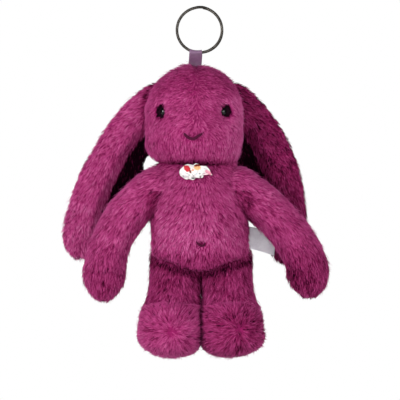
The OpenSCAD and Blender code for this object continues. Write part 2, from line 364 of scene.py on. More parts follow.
BACKING = plush_backing("plush_backing", ((82, 8, 50), (114, 18, 70), (138, 28, 88)))
# near-black backing for the eye sockets and the folded-back ears: painted shade
PAINTED_SHADE_BACKING = plush_backing("ear_lining", ((14, 0, 8), (20, 0, 12), (30, 2, 19)))
# the first, near-black shade is painted shade: eye sockets, ear folds, creases and the blades' root caps
SHADES = [fur_shade("fur_painted_shade_dark", (20, 0, 12), 0.9, 0.0, 0.02),
          fur_shade("fur_root_plum", (84, 6, 48), 0.85, 0.05, 0.1),
          fur_shade("fur_deep_berry", (122, 16, 72), 0.8, 0.12, 0.15),
          fur_shade("fur_berry", (148, 37, 96)),
          fur_shade("fur_raspberry", (168, 51, 115)),
          fur_shade("fur_rose", (186, 72, 132)),
          fur_shade("fur_lilac_tip", (203, 101, 157))]


# ---------------------------------------------------------------- fur
def sample_surface(skin, per_mm2, rng):
    """Random points spread evenly over a skin, and its normals there."""
    me = skin.data
    me.calc_loop_triangles()
    corners = np.empty(len(me.loop_triangles) * 3, np.int32)
    me.loop_triangles.foreach_get("vertices", corners)
    corners = corners.reshape(-1, 3)
    co, no = read_mesh(me)
    co *= 1000
    a, b, c = co[corners[:, 0]], co[corners[:, 1]], co[corners[:, 2]]
    area = np.linalg.norm(np.cross(b - a, c - a), axis=1) / 2
    count = int(area.sum() * per_mm2)
    pick = np.searchsorted(np.cumsum(area), rng.random(count) * area.sum())
    chosen = corners[np.minimum(pick, len(corners) - 1)]
    r1, r2 = np.sqrt(rng.random(count)), rng.random(count)
    share = np.stack([1 - r1, r1 * (1 - r2), r1 * r2], 1)
    return np.einsum("nk,nkd->nd", share, co[chosen]), unit(np.einsum("nk,nkd->nd", share, no[chosen]))


def gather(p, mid, tip, clump, clump_size, rng):
    """Draws blades into tufts: every clump_size-th blade leads, and each leans to its nearest leader's."""
    leads = np.arange(0, len(p), clump_size)
    tree = KDTree(len(leads))
    for j, i in enumerate(leads):
        tree.insert(Vector(p[i]), j)
    tree.balance()
    lead = leads[np.array([tree.find(Vector(q))[1] for q in p])]
    draw = clump * (0.7 + 0.3 * rng.random(len(p)))[:, None]
    gap = p - p[lead]
    tip = tip * (1 - draw) + (tip[lead] + gap * 0.3) * draw
    mid = mid * (1 - draw * 0.45) + (mid[lead] + gap * 0.8) * draw * 0.45
    return mid, tip, lead


def blade_mesh(name, points, normals, shade):
    """One mesh of closed blades, each three corners at its root, three more if it bends, and its tip."""
    count, k = points.shape[:2]
    bent, top = k > 4, k - 4
    base = (np.arange(count) * k)[:, None, None]
    sides = np.array([[0, 1, 4, 3], [1, 2, 5, 4], [2, 0, 3, 5]]) if bent else np.empty((0, 4), int)
    ends = np.array([[top, top + 1, top + 3], [top + 1, top + 2, top + 3], [top + 2, top, top + 3], [0, 2, 1]])
    quads, tris = (base + sides).reshape(-1, 4), (base + ends).reshape(-1, 3)
    # painted shade: a blade's lower part is one shade darker than its end, and its root cap takes the darkest shade
    low_painted_shade = np.repeat(np.maximum(shade - 1, 0), len(sides))
    end_shade = np.repeat(shade, 4).reshape(-1, 4)
    end_shade[:, 3] = 0
    me = bpy.data.meshes.new(name)
    me.vertices.add(count * k)
    me.vertices.foreach_set("co", (points * MM).ravel().astype(np.float32))
    loops = np.concatenate([quads.ravel(), tris.ravel()]).astype(np.int32)
    me.loops.add(len(loops))
    me.loops.foreach_set("vertex_index", loops)
    me.polygons.add(len(quads) + len(tris))
    starts = np.concatenate([np.arange(len(quads)) * 4, len(quads) * 4 + np.arange(len(tris)) * 3])
    me.polygons.foreach_set("loop_start", starts.astype(np.int32))
    me.polygons.foreach_set("material_index", np.concatenate([low_painted_shade, end_shade.ravel()]).astype(np.int32))
    me.polygons.foreach_set("use_smooth", np.ones(len(starts), bool))
    me.update(calc_edges=True)
    me.validate()
    me.normals_split_custom_set_from_vertices(unit(normals.reshape(-1, 3)).astype(np.float32))
    for m in SHADES:
        me.materials.append(m)
    return me


WANDER = 15    # degrees that the pile strays from the way it is brushed
CURL = 0.45    # how steeply a blade's outer half stands, as a share of its inner half's angle


def fur(name, skin, per_mm2, length, width, seed, lift, clump, clump_size, shades, flow, keep=None, shorter=None,
        painted_light=None, bent=True, mottle=1.0):
    """Closed tapered blades rooted on a skin. flow(p, n) gives the way the pile is brushed, in mm space."""
    rng = np.random.default_rng(seed)
    p, n = sample_surface(skin, per_mm2, rng)
    if keep is not None:
        kept = keep(p, n)
        p, n = p[kept], n[kept]
    count = len(p)
    along = flow(p, n)
    along = unit(along - (along * n).sum(1, keepdims=True) * n)
    aside = unit(np.cross(n, along))
    turn = np.radians(WANDER * lattice_noise(p, 7, seed) + WANDER * 0.6 * lattice_noise(p, 2.6, seed + 1)
                      + rng.normal(0, 7, count))
    along = along * np.cos(turn)[:, None] + aside * np.sin(turn)[:, None]
    aside = unit(np.cross(n, along))
    up = np.radians(np.clip(lift + 13 * lattice_noise(p, 5, seed + 2) + rng.normal(0, 5, count), 12, 78))
    size = length * (1 + 0.2 * lattice_noise(p, 3.2, seed + 3) + rng.normal(0, 0.1, count))
    if shorter is not None:
        size = size * shorter(p)
    root = p - n * 0.35
    inner, outer = [along * np.cos(a)[:, None] + n * np.sin(a)[:, None] for a in (up, up * CURL)]
    mid = root + inner * (size * 0.52)[:, None]
    tip = mid + outer * (size * 0.52)[:, None]
    mid, tip, lead = gather(p, mid, tip, clump, clump_size, rng)
    wide = width * (0.75 + 0.5 * rng.random(count))
    points, normals = [], []
    for centre, share in ((root, 1.0), (mid, 0.8)) if bent else ((root, 1.0),):
        half = (wide * share / 2)[:, None]
        points += [centre - aside * half, centre + aside * half, centre + n * half * 0.9]
        normals += [n * 0.8 - aside * 0.35, n * 0.8 + aside * 0.35, n]
    points = np.stack(points + [tip], 1)
    normals = np.stack(normals + [n * 0.9 + along * 0.15], 1)
    tuft = rng.normal(0, 1, (count, 4))[lead]
    grown = np.linspace(0.5, 1, points.shape[1])[None, :, None]
    normals += (0.17 * mottle * tuft[:, :3])[:, None, :] * grown
    lightness = lattice_noise(p, 4.5, seed + 5) * 0.45 + tuft[:, 3] * 0.36 + rng.normal(0, 0.36, count)
    steps = np.linspace(-0.75, 0.75, len(shades) - 1)
    shade = np.array(shades)[np.searchsorted(steps, lightness * mottle)]
    # painted_light moves each blade's shade up or down by place: painted light and painted shade
    if painted_light is not None:
        shade = shade + np.rint(painted_light(p, n) + rng.normal(0, 0.3, count)).astype(int)
        shade = np.clip(shade, 0, len(SHADES) - 1)
    ob = linked(name, blade_mesh(name, points, normals, shade))
    return ob


def place(ob, body, across=None):
    """Rides one body; with across, (other body, start, end) in mm, it is fixed where it stands and rides none."""
    if across:
        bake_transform(ob)
    else:
        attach(ob, body)


# ---------------------------------------------------------------- the soft parts
HEAD_TOP, HEAD_END, HEAD_X = -19.4, -71.4, -1.8
BODY_TOP, BODY_END, BODY_X = -64.5, -126.3, 0.3
LEG_TOP, LEG_END, LEG_X = -110.0, -170.8, 0.5
FACE_X = -3.4
OUTWARD = {"left": -1, "right": 1}


def body_wide(u):
    return 25.3 * dome(u, 6.0, 8.0) * (0.88 + 0.12 * rise(u, 0.1, 0.5)) * (1 - 0.5 * rise(u, 0.85, 0.98))


def body_deep(u):
    return 18.4 * dome(u, 2.4, 2.8) * (0.85 + 0.15 * rise(u, 0, 0.5) - 0.4 * rise(u, 0.7, 1))


def head_wide(u):
    return 24.9 * dome(u, 2.2, 4.8)


def head_deep(u):
    return 20.2 * dome(u, 2.2, 3.4)

head_path = drop(HEAD_TOP, HEAD_END, [-4.2, -2.8, -2.1, -3.8], [1, -2, -4, -1])
body_path = drop(BODY_TOP, BODY_END, [BODY_X - 3.6, BODY_X - 0.6, BODY_X, BODY_X], [0.5, 0, -1, -13])
arm_paths = {"left": [[-13, -3, -77.6], [-36, -4, -89.7], [-52.2, -4, -108], [-50.4, -4, -141.9]],
             "right": [[12, -3, -77.5], [34, -4, -91.3], [60.2, -4, -110.5], [57.8, -4, -140]]}
ear_paths = {"left": [[-14, 1, -34.5], [-44, 6.5, -45.6], [-63.8, 11, -95.3], [-62.3, 13.5, -119.2]],
             "right": [[9.2, 1, -32.4], [43.2, 6.5, -53.3], [48.7, 11, -91], [45.5, 14, -122.3]]}
leg_paths = {side: drop(LEG_TOP, LEG_END, [LEG_X + out * (x - 0.3) + 0.3 for x in (12.2, 12.8, 15.7, 17.8)],
                        [2.5, 5.5, -5, -7]) for side, out in OUTWARD.items()}
EAR_REACH = {"left": 7.6, "right": 12.5}          # how far the folded edge comes in behind the cheek
EAR_REACH_LOW = {"left": 0.75, "right": 0.45}     # and what its lower half adds, as a share
EAR_NARROWING = {"left": 0.8, "right": 0.0}
EYES = {side: mid_mm("eye_" + side) for side in SIDES}
PIT_OFFSET = {"left": -0.6, "right": 0.8}         # the fur parts a little outward of each bead, and the socket's painted shade with it
mouth_low, mouth_high = box_mm("mouth_stitch")
mouth_mid = (mouth_low + mouth_high) / 2
navel = mid_mm("belly_stitch")
knot = mid_mm("bow_knot")


def head_bend(p, u, a):
    x, z = p[:, 0], p[:, 2]
    front = smooth((-p[:, 1] - 2) / 14)
    muzzle = np.exp(-((x - FACE_X) / 13) ** 2 - ((z + 55) / 9) ** 2) * 2.6
    cheek = sum(np.exp(-((x - FACE_X - k * 15) / 8) ** 2 - ((z + 59) / 8) ** 2) for k in (-1, 1)) * 1.4
    brow = np.exp(-((x - FACE_X) / 17) ** 2 - ((z + 41) / 4.5) ** 2) * 1.0
    p[:, 1] -= front * (muzzle + cheek - brow)
    return p


def ear_bend(side):
    """Folds the ear lengthwise: its inner edge steps back and reaches behind the cheek."""
    inner = -OUTWARD[side]

    def bend(p, u, a):
        s = np.cos(a) * inner
        part = rise(u, 0.2, 0.36) * (1 - rise(u, 0.52, 0.8))
        low = 1 + EAR_REACH_LOW[side] * rise(u, 0.42, 0.52)
        p[:, 0] += inner * EAR_REACH[side] * rise(s, 0.45, 1.0) * part * low
        p[:, 1] += 7.0 * rise(s, 0.3, 0.8) * (0.35 * rise(u, 0.05, 0.35) + 0.65 * part)
        p[:, 1] -= np.maximum(0, -s - 0.2) ** 2 * 1.5
        p[:, 1] += 0.5 * np.sin(u * 9 + inner)
        return p
    return bend


def ear_wide(side):
    return lambda u: (10.2 - EAR_NARROWING[side] * np.exp(-((u - 0.42) / 0.12) ** 2)) * capsule(u, 0.09, 0.16)


def ear_painted_shade(side):
    """Painted shade on the folded-back part of the ear and in the crease where it meets the head; the left ear is
    painted lighter and the right ear darker, as the light falls.
    """
    line = bezier(ear_paths[side], np.linspace(0.01, 0.99, 60))

    def painted_light(p, n):
        gap = p[:, None, [0, 2]] - line[None][:, :, [0, 2]]
        aside = gap[np.arange(len(p)), np.argmin((gap ** 2).sum(2), 1)]
        inward = np.linalg.norm(aside, axis=1) * np.sign(aside[:, 0]) * -OUTWARD[side]
        dark = 4.6 * rise(inward, 6.6, 8.4)
        seam = 1.9 * (1 - rise(head_ratio(p), 1.02, 1.13)) * (p[:, 2] > -72)
        low = rise(-p[:, 2], 84, 94)
        side_light = 0.3 + 0.4 * low if side == "left" else -1.9 + 0.2 * low
        return np.where(dark > 1, -dark, np.where(seam > 0.05, np.minimum(side_light, -seam), side_light))
    return painted_light


def head_ratio(p):
    """Sideways distance from the head's middle, 1 at its outline."""
    u = np.clip((HEAD_TOP - p[:, 2]) / (HEAD_TOP - HEAD_END), 0.02, 0.98)
    return np.abs(p[:, 0] - bezier(head_path, u)[:, 0]) / head_wide(u)


def arm_painted_shade(p, n):
    """Painted shade in the crook between the arm and the body, in the paw's hollow and towards its end; painted
    light on the upper arms.
    """
    u = np.clip((BODY_TOP - p[:, 2]) / (BODY_TOP - BODY_END), 0.02, 0.9)
    crook = 1 - rise(np.abs(p[:, 0] - BODY_X) / body_wide(u), 1.0, 1.12)
    left = p[:, 0] < 0
    paw = np.where(left[:, None], (-51.1, -131.5), (51.3, -128.6))
    hollow = np.exp(-(((p[:, [0, 2]] - paw) / 7.5) ** 2).sum(1)) * (p[:, 1] < 2)
    low = rise(-p[:, 2], 108, 122)
    left_arm = 0.3 - 0.6 * low - 0.9 * hollow
    right_arm = 0.4 * (1 - rise(-p[:, 2], 84, 96)) - 1.0 * low - 1.3 * hollow
    return np.where(left, left_arm, right_arm) - 2.0 * crook * (p[:, 2] < -84)


def away_from_eyes(p):
    """Distances from the beads' sockets, which are tall ovals, and from the mouth."""
    near = np.minimum(*[np.linalg.norm((p - EYES[side] - [PIT_OFFSET[side], 0, 0.6])[:, [0, 2]] * [1.0, 0.7],
                                       axis=1) for side in SIDES])
    near = np.where(p[:, 1] < -4, near, 99)
    mouth = np.where(p[:, 1] < -10, np.linalg.norm((p - mouth_mid)[:, [0, 2]] * [0.75, 1.4], axis=1), 99)
    return near, mouth


head_pins = [((eye[0], eye[1], eye[2] + z), 6.0, 1.9) for eye in EYES.values() for z in (-1.3, 1.3)]
head_pins += [((mouth_mid[0] + x, -24, mouth_mid[2] - 0.3 + 0.05 * x * x), 2.6, 0.9) for x in (-4, -2, 0, 2, 4)]
head_pins += [((FACE_X + 1.2, -22, z), 2.2, 0.6) for z in (-62, -65, -68)]
head_skin = stuffed("head_cover", *loft_arrays(head_path, head_wide, head_deep, bend=head_bend), pins=head_pins)
navel_pins = [((navel[0] + x, -24, navel[2] + z), 4.5, 1.9) for x, z in ((-1.5, 0), (1.5, 0), (0, -1))]
body_skin = stuffed("body_cover", *loft_arrays(body_path, body_wide, body_deep), pins=navel_pins)

DIMPLES = {"left": (-14.7, -22, -158.8), "right": (21.0, -22, -157.5)}    # in the front of each foot
WHORLS = {"left": (-14.7, -22, -158.0), "right": (21.0, -22, -156.5)}     # where its pile spreads from
arm_skins, ear_skins, leg_skins = {}, {}, {}
for side in SIDES:
    arm_skins[side] = stuffed("arm_%s_cover" % side, *loft_arrays(
        arm_paths[side], lambda u: 11.0 * capsule(u, 0.12, 0.17), lambda u: 8.6 * capsule(u, 0.12, 0.17),
        rows=44, sides=32))
    ear_skins[side] = mesh_object("ear_%s_cover" % side, *loft_arrays(
        ear_paths[side], ear_wide(side), lambda u: 2.2 * capsule(u, 0.1, 0.1), rows=60, sides=48,
        bend=ear_bend(side)))
    ankle = [((LEG_X + OUTWARD[side] * 15 + k, -14, -141.2 - 0.05 * abs(k)), 3.4, 1.5) for k in range(-9, 10, 3)]
    leg_skins[side] = stuffed("leg_%s_cover" % side, *loft_arrays(
        leg_paths[side], lambda u: (13.9 + 2.4 * rise(u, 0.42, 0.72)) * capsule(u, 0.16, 0.15),
        lambda u: (11.0 + 7.2 * rise(u, 0.45, 0.68)) * capsule(u, 0.24, 0.15), rows=48, sides=40),
        pins=ankle + [(DIMPLES[side], 4.2, 1.6)])


def add_painted_shade(ob, dark):
    """Adds to a skin the near-black backing that is painted shade, where dark says."""
    middles = np.array([f.center for f in ob.data.polygons]) * 1000
    ob.data.materials.append(PAINTED_SHADE_BACKING)
    ob.data.polygons.foreach_set("material_index", dark(middles).astype(np.int32))


for ob in [head_skin, body_skin, *arm_skins.values(), *ear_skins.values(), *leg_skins.values()]:
    ob.data.materials.clear()
    ob.data.materials.append(BACKING)
# painted shade: the eye sockets and the folded-back part of each ear get the near-black backing
add_painted_shade(head_skin, lambda p: away_from_eyes(p)[0] < 2.8)
for side, ob in ear_skins.items():
    add_painted_shade(ob, lambda p: ear_painted_shade(side)(p, None) < -2)


# ---------------------------------------------------------------- how the pile is brushed
PART_X = -1.5


def head_flow(p, n):
    """Combed down and out from a parting over the brow: nearly level on top, steep on the cheeks."""
    across = p[:, 0] - PART_X
    steep = 33 + 24 * rise(-p[:, 2], 34, 66) + 34 * rise(np.abs(across), 12, 25) * rise(-p[:, 2], 30, 46)
    steep = np.radians(np.minimum(steep + 26 * rise(-p[:, 2], 54, 62), 88))
    side = np.tanh(across / 2.5)
    down = np.stack([side * np.cos(steep), 0 * side, -np.sin(steep) - 0.5 * (1 - np.abs(side))], 1)
    face = smooth((14 - p[:, 1]) / 16)[:, None]
    return unit(down) * face + np.array([0, 0.1, -1.0]) * (1 - face)


def body_flow(p, n):
    way = np.zeros_like(p)
    way[:, 2] = -1
    way[:, 0] = np.tanh((p[:, 0] - BODY_X) / 9) * (0.75 - 0.45 * rise(-p[:, 2], 90, 112))
    return way


def flow_along(path, outward=0.25):
    steps = np.linspace(0.01, 0.99, 60)
    line, way = bezier(path, steps), heading(path, steps)

    def flow(p, n):
        i = np.argmin(((p[:, None, :] - line[None]) ** 2).sum(2), 1)
        return way[i] + outward * unit(p - line[i])
    return flow


def leg_flow(side):
    def flow(p, n):
        down = np.zeros_like(p)
        down[:, 2] = -1
        down[:, 0] = (p[:, 0] - (LEG_X + 15.5 * OUTWARD[side])) * 0.02
        foot = smooth((-142 - p[:, 2]) / 5) * smooth((-p[:, 1] + 2) / 8)
        return down * (1 - foot)[:, None] + unit(p - np.array(WHORLS[side])) * foot[:, None]
    return flow


def head_keep(p, n):
    return away_from_eyes(p)[0] > 1.3


def head_short(p):
    near, mouth = away_from_eyes(p)
    face = smooth((-p[:, 1] - 4) / 12)
    crown = 0.45 * np.exp(-(np.linalg.norm(p - [HEAD_X - 1.0, 0, HEAD_TOP], axis=1) / 7) ** 2)
    size = 1 - 0.2 * face + crown
    size *= 0.7 + 0.3 * rise(near, 1.6, 3.6)
    return size * (0.6 + 0.4 * rise(mouth, 2.0, 5.0))

def outside(p, path, wide, deep, margin):
    """True where a point isn't buried in a stuffed part that hangs from path's first point to its last."""
    top, bottom = path[0][2], path[-1][2]
    u = np.clip((top - p[:, 2]) / (top - bottom), 0.001, 0.999)
    c = bezier(path, u)
    w, d = np.maximum(wide(u) - margin, 0.1), np.maximum(deep(u) - margin, 0.1)
    inside = ((p[:, 0] - c[:, 0]) / w) ** 2 + ((p[:, 1] - c[:, 1]) / d) ** 2 < 1
    return ~(inside & (p[:, 2] < top) & (p[:, 2] > bottom))


def off_head(margin):
    return lambda p, n: outside(p, head_path, head_wide, head_deep, margin)


def off_body(margin):
    return lambda p, n: outside(p, body_path, body_wide, body_deep, margin)


def body_short(p):
    front = p[:, 1] < -8
    bow = np.where(front, np.linalg.norm((p - knot)[:, [0, 2]] * [0.6, 1], axis=1), 99)
    belly = np.where(front, np.linalg.norm((p - navel)[:, [0, 2]], axis=1), 99)
    edge = 1 - 0.4 * (1 - rise(p[:, 2] - under_belly(p), 1, 6)) * (p[:, 1] < 4)
    return (0.45 + 0.55 * rise(bow, 3, 6)) * (0.5 + 0.5 * rise(belly, 1.6, 5)) * edge


FULL = 1.0
neck = ("head", (HEAD_X, 0, -69.5), (HEAD_X, 0, -80))
hips = {"left": ("torso", (-13, 0, -118), (-13, 0, -134)), "right": ("torso", (14, 0, -118), (14, 0, -134))}
shoulders = {"left": ("torso", (-20, -4, -79), (-34, -4, -92)), "right": ("torso", (20, -4, -78), (33, -4, -91))}
ear_roots = {"left": ("head", (-22, 4, -39), (-34, 6, -48)), "right": ("head", (19, 4, -39), (31, 6, -48.5))}


def coat(name, body, skin, flow, seed, length, across=None, keep=None, shorter=None, soft=1.0, painted_light=None,
         mottle=1.0):
    """Broad tufts below, finer and lighter ones above, and a few long hairs that stand out."""
    same = {"flow": flow, "keep": keep, "shorter": shorter, "painted_light": painted_light}
    layers = (
        fur(name + "_pile_low", skin, 1.2 * FULL, length * 0.85, 0.75, seed, 26, 0.3 * soft, 4, (2, 3, 3, 4),
            bent=False, mottle=mottle, **same),
        fur(name + "_pile_high", skin, 2.35 * FULL, length * 1.1, 0.34, seed + 50, 32, 0.6 * soft, 6,
            (2, 3, 4, 4, 5, 5), mottle=mottle, **same),
        fur(name + "_pile_stray", skin, 0.2 * FULL, length * 1.15, 0.24, seed + 90, 52, 0.1, 9, (4, 5, 6), **same))
    for ob in layers:
        place(ob, body, across)


def under_belly(p):
    """Height of the crease between the belly and the thighs."""
    return -127.0 + 0.36 * (np.sqrt((p[:, 0] - LEG_X) ** 2 + 20) - 4.47)


def belly_painted_light(p, n):
    """Painted light where the belly stands out; painted shade under it, in the crook of the neck, along its sides
    by the arms and low on the body.
    """
    out = np.exp(-((p[:, 0] + 3) / 17) ** 2 - ((p[:, 2] + 107) / 10) ** 2) * (p[:, 1] < 0)
    low = 1 - rise(p[:, 2] - under_belly(p), 0.5, 3.0)
    edge = rise(np.abs(p[:, 0] - BODY_X), 20.5, 23.5) * (1 - rise(-p[:, 2], 106, 112)) * (p[:, 2] < -78)
    return (1.1 * out + 0.2 - 1.8 * low - 0.9 * rise(p[:, 2], -76, -70) - 1.3 * edge
            - 1.1 * rise(-p[:, 2], 113, 119))


def leg_painted_shade(p, n):
    """Painted shade: the thighs lie in the shade of the belly, darkest just under it, and between the legs, in the
    left ankle's crease, on the right foot and in the left foot's dimple; the feet stand out; the seam low on the
    right foot is darker.
    """
    under = np.exp(-((p[:, 2] - under_belly(p) + 1.0) / 2.0) ** 2) * (p[:, 1] < 4)
    crease = np.exp(-((p[:, 2] + 142) / 1.1) ** 2) * (p[:, 1] < 0) * (p[:, 0] < 0)
    inner = 1 - rise(np.abs(p[:, 0] - LEG_X), 1.0, 2.6)
    foot = np.where(p[:, 0] > LEG_X, -1.0, 0.0) * rise(-p[:, 2], 143, 152)
    dimple = np.exp(-(((p[:, 0] + 15.4) / 1.2) ** 2 + ((p[:, 2] + 158.1) / 1.8) ** 2))
    seam = np.exp(-(((p[:, 0] - 19.9) / 0.9) ** 2 + ((p[:, 2] + 165.5) / 3.5) ** 2))
    return (foot - 1.1 * (1 - rise(-p[:, 2], 135, 150)) * (p[:, 1] < 6) - 1.6 * under - 1.1 * crease - 1.2 * inner
            - (1.8 * dimple + 1.3 * seam) * (p[:, 1] < 0))


# Painted shade: a dark halo round each eye socket, under the chin and over the brow; painted light on the right
# cheek; darker along the chin's seam.
def face_painted_shade(p, n):
    near, _ = away_from_eyes(p)
    seam = np.exp(-((p[:, 0] + 2.8) / 0.7) ** 2) * rise(-p[:, 2], 59.5, 62) * (p[:, 1] < 0)
    chin_shadow = rise(-p[:, 2], 66, 70)
    brow = rise(p[:, 2], -38, -30)
    right = rise(p[:, 0], 6, 20) * (1 - brow)
    return -6.0 * (1 - rise(near, 1.8, 3.3)) - 1.0 * seam - 3.2 * chin_shadow - 0.8 * brow + 1.0 * right + 0.2


coat("head", "head", head_skin, head_flow, 11, 3.0, keep=head_keep, shorter=head_short, soft=0.65, painted_light=face_painted_shade,
     mottle=0.7)
coat("body", "torso", body_skin, body_flow, 21, 3.4, across=neck, keep=off_head(1.0), shorter=body_short,
     painted_light=belly_painted_light)
for k, side in enumerate(SIDES):
    coat("arm_" + side, "arm_" + side, arm_skins[side], flow_along(arm_paths[side]), 31 + k, 3.4,
         across=shoulders[side], keep=off_body(1.5), painted_light=arm_painted_shade)
    coat("ear_" + side, "ear_" + side, ear_skins[side], flow_along(ear_paths[side]), 41 + k, 3.0,
         across=ear_roots[side], keep=off_head(1.5), painted_light=ear_painted_shade(side))
    coat("leg_" + side, "leg_" + side, leg_skins[side], leg_flow(side), 61 + k, 3.5,
         across=hips[side], keep=off_body(1.5), painted_light=leg_painted_shade)

place(head_skin, "head")
place(body_skin, "torso", neck)
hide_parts("head_face_left", "head_face_right", "head_back", "head_filling", "eye_washer_left",
            "eye_washer_right")
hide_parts("torso_front", "torso_back_left", "torso_back_right", "torso_filling")
for side in SIDES:
    place(arm_skins[side], "arm_" + side, shoulders[side])
    place(ear_skins[side], "ear_" + side, ear_roots[side])
    place(leg_skins[side], "leg_" + side, hips[side])
    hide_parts(*["arm_%s_%s" % (side, k) for k in ("front", "back", "filling")])
    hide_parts(*["ear_%s_%s" % (side, k) for k in ("front", "back")])
    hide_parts(*["leg_%s_%s" % (side, k) for k in ("outer", "inner", "sole", "filling")])


# ---------------------------------------------------------------- swept and small pieces
def fit(ob, made_of, slot, body, *nodes):
    """Finishes a small piece: its material, the body it rides on and the nodes that it stands for. slot is not
    used.
    """
    ob.data.materials.append(made_of)
    if nodes:
        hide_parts(*nodes)
    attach(ob, body)


def sweep(line, e1, e2, section):
    """Closed bar along line (mm), with the section's two axes given at each point."""
    line, section = np.asarray(line, float), np.asarray(section, float)
    rings = line[:, None] + section[None, :, :1] * e1[:, None] + section[None, :, 1:] * e2[:, None]
    return tube(rings, line[0], line[-1])


def frames(line):
    """Two axes across a line, carried along it without twist."""
    way = unit(np.gradient(line, axis=0))
    e1 = np.empty_like(line)
    first = np.cross(way[0], (0.3, 1, 0.2))
    e1[0] = first / np.linalg.norm(first)
    for i in range(1, len(line)):
        v = e1[i - 1] - way[i] * (e1[i - 1] @ way[i])
        e1[i] = v / np.linalg.norm(v)
    return e1, np.cross(way, e1)


def circle(radius, sides):
    a = 2 * np.pi * np.arange(sides) / sides
    return np.stack([radius * np.cos(a), radius * np.sin(a)], 1)


def join(parts):
    points, faces, base = [], [], 0
    for p, f in parts:
        points.append(p)
        faces += [tuple(i + base for i in face) for face in f]
        base += len(p)
    return np.vstack(points), faces


def rope(name, line, radius, turns_per_mm=0.5, strands=3):
    """Embroidery thread: strands twisted round each other."""
    line = np.asarray(line, float)
    e1, e2 = frames(line)
    length = np.concatenate([[0], np.cumsum(np.linalg.norm(np.diff(line, axis=0), axis=1))])
    parts = []
    for k in range(strands):
        phase = 2 * np.pi * (length * turns_per_mm + k / strands)
        path = line + (radius * 0.5) * (np.cos(phase)[:, None] * e1 + np.sin(phase)[:, None] * e2)
        f1, f2 = frames(path)
        parts.append(sweep(path, f1, f2, circle(radius * 0.56, 8)))
    return mesh_object(name, *join(parts))


def spline(points, n):
    """Smooth line through points (Catmull-Rom)."""
    q = np.asarray(points, float)
    q = np.vstack([2 * q[0] - q[1], q, 2 * q[-1] - q[-2]])
    out = []
    for s in np.linspace(0, len(q) - 3 - 1e-6, n):
        i, t = int(s), s - int(s)
        a, b, c, d = q[i:i + 4]
        bend = (2 * a - 5 * b + 4 * c - d) * t * t + (3 * b - a - 3 * c + d) * t ** 3
        out.append(0.5 * (2 * b + (c - a) * t + bend))
    return np.array(out)


def round_bar(half_a, half_b, r, steps=3):
    out = []
    for cx, cy, start in ((1, 1, 0), (-1, 1, 90), (-1, -1, 180), (1, -1, 270)):
        for i in range(steps + 1):
            a = math.radians(start + 90 * i / steps)
            out.append((cx * (half_a - r) + r * math.cos(a), cy * (half_b - r) + r * math.sin(a)))
    return np.array(out)


# Split ring: one flat wire wound twice, stepping back where the turns change places
def ring_steel():
    s = Shader("gunmetal_steel")
    scratch = s.noise(900, 2, 0.6, (1, 12, 1))
    colour = s.ramp(s.noise(260, 4), (0.35, (0.022, 0.020, 0.018, 1)), (0.7, (0.055, 0.050, 0.044, 1)))
    rough = s.ramp(scratch, (0.3, (0.26, 0.26, 0.26, 1)), (0.75, (0.38, 0.38, 0.38, 1)))
    s.fill(s.surface, {"Base Color": colour, "Metallic": 1.0, "Roughness": rough})
    s.bump(scratch, 0.06, 0.0001)
    return s.material


ring_low, ring_high = box_mm("split_ring")
ring_r = (ring_high[0] - ring_low[0]) / 2 - 0.66
START, WOUND = 104, 697     # degrees: where the wire's outer end lies, and how far it runs
deg = np.linspace(START, START + WOUND, 500)
depth = -0.46 + 0.92 * rise(deg, START + 325, START + 357)
out_r = ring_r + 0.22 * np.exp(-((deg - START - 341) / 16) ** 2) + 0.16 * np.exp(-((deg - 680) / 30) ** 2)
ang = np.radians(deg)
radial = np.stack([np.cos(ang), 0 * ang, np.sin(ang)], 1)
ring_line = radial * out_r[:, None] + np.stack([0 * ang, depth, 0 * ang], 1)
axis = np.tile((0.0, 1.0, 0.0), (len(deg), 1))
ring = mesh_object("split_ring_wire", *sweep(ring_line, radial, axis, round_bar(0.72, 0.44, 0.2)))
fit(ring, ring_steel(), "ring_steel", "key_ring", "split_ring")


# Ribbon: satin strap round the wire, both plies sewn into the crown
def satin(name, dark, light, scale, relief=0.25, fold=None):
    """Woven satin. fold is the height above which it is painted paler, a painted highlight where it turns over the
    wire, and that colour.
    """
    s = Shader(name)
    weave = s.add("TexWave", {"Vector": s.coords(), "Scale": scale, "Distortion": 0.6, "Detail": 2},
                  bands_direction="Z").outputs[1]
    colour = s.ramp(s.total(weave, 0.3, s.noise(220)), (0.3, dark), (0.85, light))
    if fold:
        height, painted_highlight = fold
        z = s.add("SeparateXYZ", {0: s.coords()}).outputs["Z"]
        limits = {"Value": z, "From Min": (height - 0.7) * MM, "From Max": height * MM}
        colour = s.mix(s.add("MapRange", limits).outputs[0], colour, painted_highlight)
    s.fill(s.surface, {"Base Color": colour, "Roughness": 0.42, "Sheen Weight": 0.4, "Sheen Roughness": 0.3})
    s.bump(weave, relief, 0.0001)
    return s.material


def thickened(name, grid, thick):
    """A one-ply sheet over a grid of points, with its thickness in mm."""
    ob = mesh_object(name, grid.reshape(-1, 3), grid_faces(*grid.shape[:2]))
    solid = ob.modifiers.new("Thickness", "SOLIDIFY")
    solid.thickness, solid.offset = thick * MM, 0
    me = baked_mesh(ob)
    ob.modifiers.clear()
    ob.data = me
    return ob


RIBBON_W = 6.9
ribbon_low, ribbon_high = box_mm("hanging_ribbon")
ribbon_x = (ribbon_low[0] + ribbon_high[0]) / 2
turn = np.radians(np.linspace(200, -20, 40))
loop = np.stack([1.5 * np.cos(turn), -11.75 + 1.5 * np.sin(turn)], 1)


def ply(start, y):
    """One ply of the ribbon in y and z, from the loop's end down to the seam in the crown."""
    down = np.linspace(0, 1, 24)[1:]
    return start + (np.array([y, HEAD_TOP - 2.5]) - start) * np.stack([smooth(down * 1.6), down], 1)


